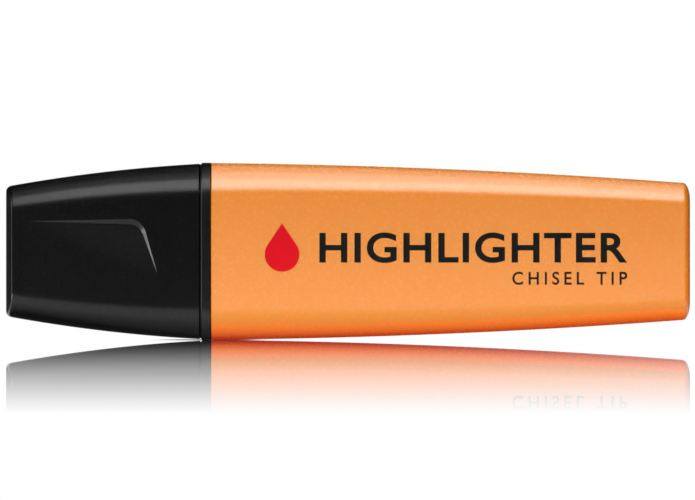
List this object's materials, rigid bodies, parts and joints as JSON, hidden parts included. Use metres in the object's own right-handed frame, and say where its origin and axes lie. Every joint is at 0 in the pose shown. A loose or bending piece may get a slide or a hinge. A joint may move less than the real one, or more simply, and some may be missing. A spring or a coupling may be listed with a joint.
{
  "type": "highlighter pen",
  "caption": "Flat tapered highlighter pen with a pull-off cap over a chisel nib, fed by a fibre ink reservoir.",
  "frame": {"origin": "middle of the pen's footprint, at its lowest point when it rests on a narrow side; the pen's own axis runs 13.6 mm above it", "axes": "+X along the pen from the cap's closed end to the barrel's rear end, +Y through the thickness away from the front face, +Z across the width, upwards"},
  "size_m": [0.105, 0.017, 0.0272],
  "materials": {
    "barrel_plastic": "smooth moulded orange polypropylene, satin gloss",
    "black_plastic": "smooth moulded black polypropylene",
    "cap_plastic": "black polypropylene with a fine moulded grain",
    "nib_felt": "bonded polyester fibre, soaked with fluorescent orange ink",
    "reservoir_fibre": "drawn polyester fibre bundle soaked with ink",
    "film": "thin clear wrap",
    "seal_plastic": "soft natural polyethylene"
  },
  "bodies": {
    "pen": {"barrel": "barrel_plastic", "front_section": "black_plastic", "nib": "nib_felt", "ink_reservoir": "reservoir_fibre", "reservoir_film": "film"},
    "cap": {"cap": "cap_plastic", "cap_inner_seal": "seal_plastic"}
  },
  "joints": [
    {"name": "cap_pull", "type": "slide", "parent": "pen", "child": "cap", "axis": [-1, 0, 0], "range_m": [0, 0.04]}
  ]
}
